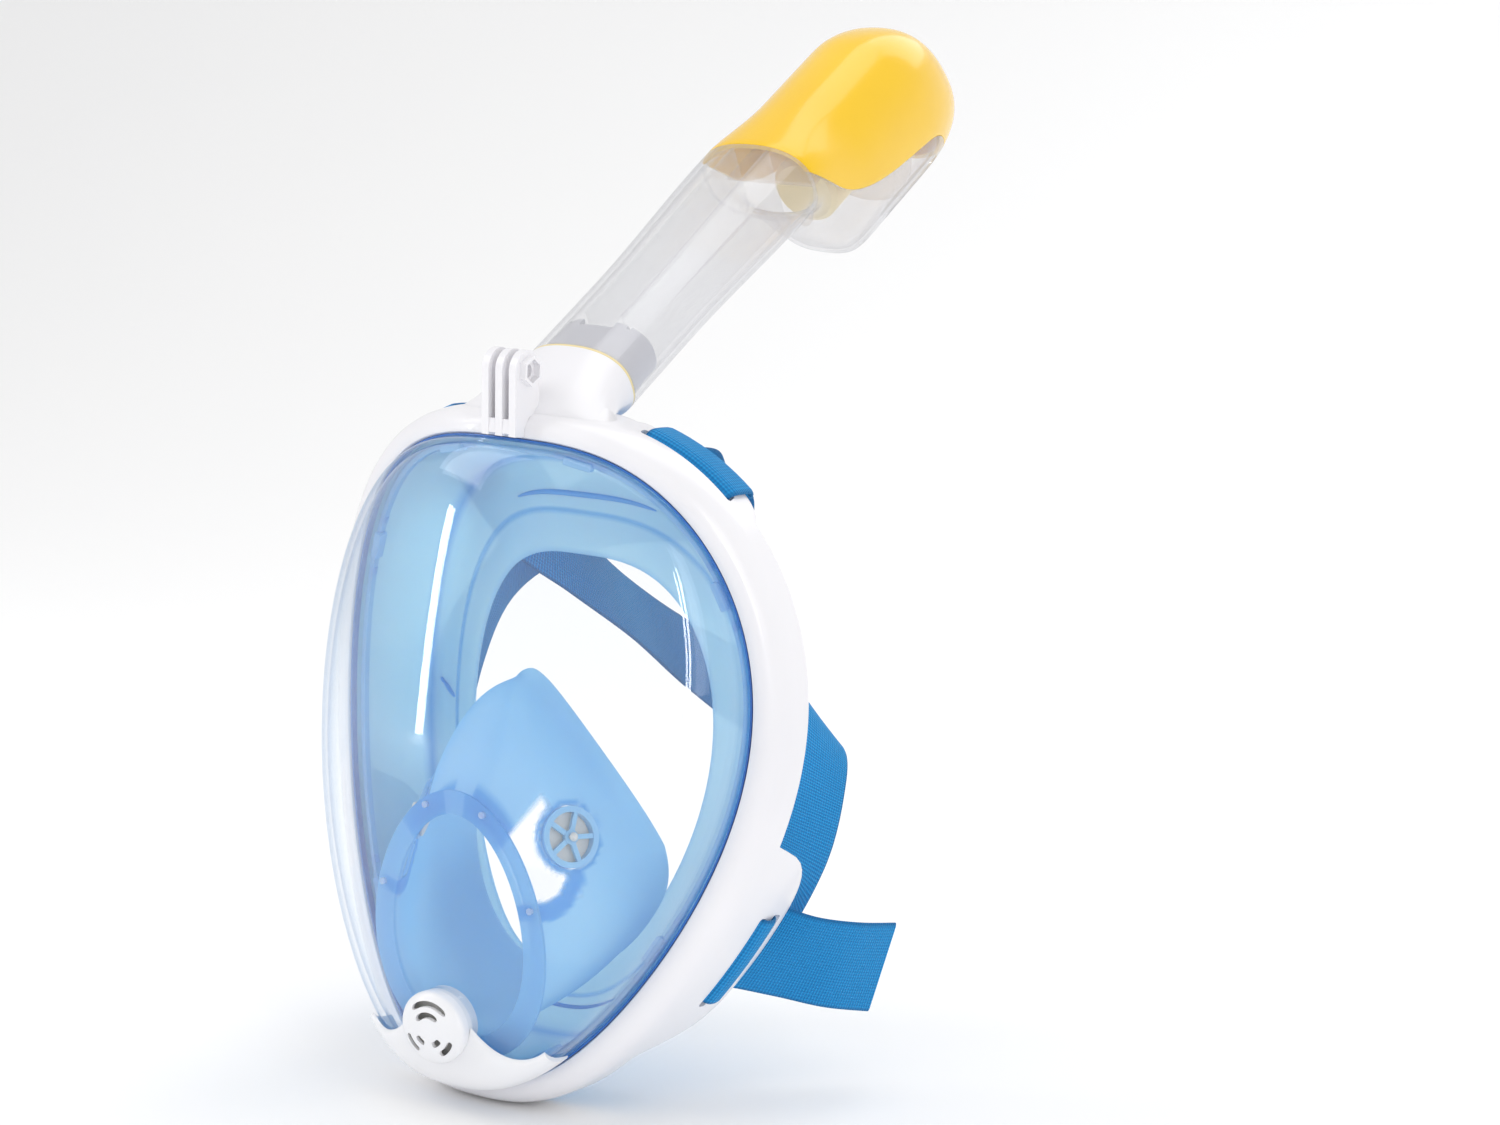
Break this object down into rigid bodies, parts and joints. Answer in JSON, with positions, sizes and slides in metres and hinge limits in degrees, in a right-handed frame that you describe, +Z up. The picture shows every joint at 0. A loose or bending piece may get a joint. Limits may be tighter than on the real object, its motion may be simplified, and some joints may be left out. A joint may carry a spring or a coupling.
{
  "type": "snorkel mask",
  "caption": "Full-face snorkel mask with clear bulged lens, silicone skirt and breathing pocket, pull-off float-valve snorkel, chin drain valve and crossed head straps.",
  "frame": {"origin": "centre of the face opening, in the plane where the skirt meets the face, on the mask's plane of symmetry", "axes": "+Z up as worn, +Y backwards into the wearer's face, -Y the way the wearer looks, +X towards the right of someone who faces the mask, which is the wearer's left; right and left in node names are as seen from the front"},
  "size_m": [0.2132, 0.3307, 0.4075],
  "materials": {
    "white_shell": "smooth glossy",
    "clear_lens": "clear polycarbonate",
    "dark_blue_seal": "smooth",
    "blue_clip": "smooth translucent",
    "blue_silicone": "satin translucent silicone",
    "clear_rivet": "smooth clear",
    "valve_plastic": "smooth",
    "flap_silicone": "thin satin silicone",
    "grey_spigot": "satin",
    "cream_seal": "satin",
    "clear_tube": "clear moulded plastic",
    "yellow_cap": "smooth glossy",
    "clear_inner": "clear moulded plastic",
    "float_foam": "fine closed foam",
    "pad_rubber": "soft satin",
    "strap_webbing": "woven elastic webbing"
  },
  "bodies": {
    "mask": {"frame_shell": "white_shell", "visor_lens": "clear_lens", "lens_seal": "dark_blue_seal", "clip_ring": "blue_clip", "face_skirt": "blue_silicone", "nose_pocket": "blue_silicone", "pocket_rivets": "clear_rivet", "inhale_seat_right": "valve_plastic", "inhale_seat_left": "valve_plastic", "drain_seat": "valve_plastic", "drain_cover": "white_shell", "camera_mount": "white_shell", "spigot": "grey_spigot", "spigot_seal": "cream_seal", "strap_right": "strap_webbing", "strap_left": "strap_webbing"},
    "snorkel": {"snorkel_tube": "clear_tube", "float_chamber": "clear_tube", "dry_top_cap": "yellow_cap", "float_seat": "clear_inner"},
    "float": {"float_block": "float_foam", "float_pad": "pad_rubber"},
    "drain_flap": {"drain_membrane": "flap_silicone"},
    "right_flap": {"inhale_flap_right": "flap_silicone"},
    "left_flap": {"inhale_flap_left": "flap_silicone"}
  },
  "joints": [
    {"name": "snorkel_pull", "type": "slide", "parent": "mask", "child": "snorkel", "axis": [0, 0.848, 0.5299], "range_m": [0, 0.03]},
    {"name": "float_rise", "type": "slide", "parent": "snorkel", "child": "float", "axis": [0, 0.848, 0.5299], "range_m": [0, 0.0143]},
    {"name": "drain_open", "type": "slide", "parent": "mask", "child": "drain_flap", "axis": [0, -0.9903, -0.1392], "range_m": [0, 0.002]},
    {"name": "inhale_open_right", "type": "slide", "parent": "mask", "child": "right_flap", "axis": [-0.8636, 0.4306, -0.2622], "range_m": [0, 0.0015]},
    {"name": "inhale_open_left", "type": "slide", "parent": "mask", "child": "left_flap", "axis": [0.8636, 0.4306, -0.2622], "range_m": [0, 0.0015]}
  ]
}
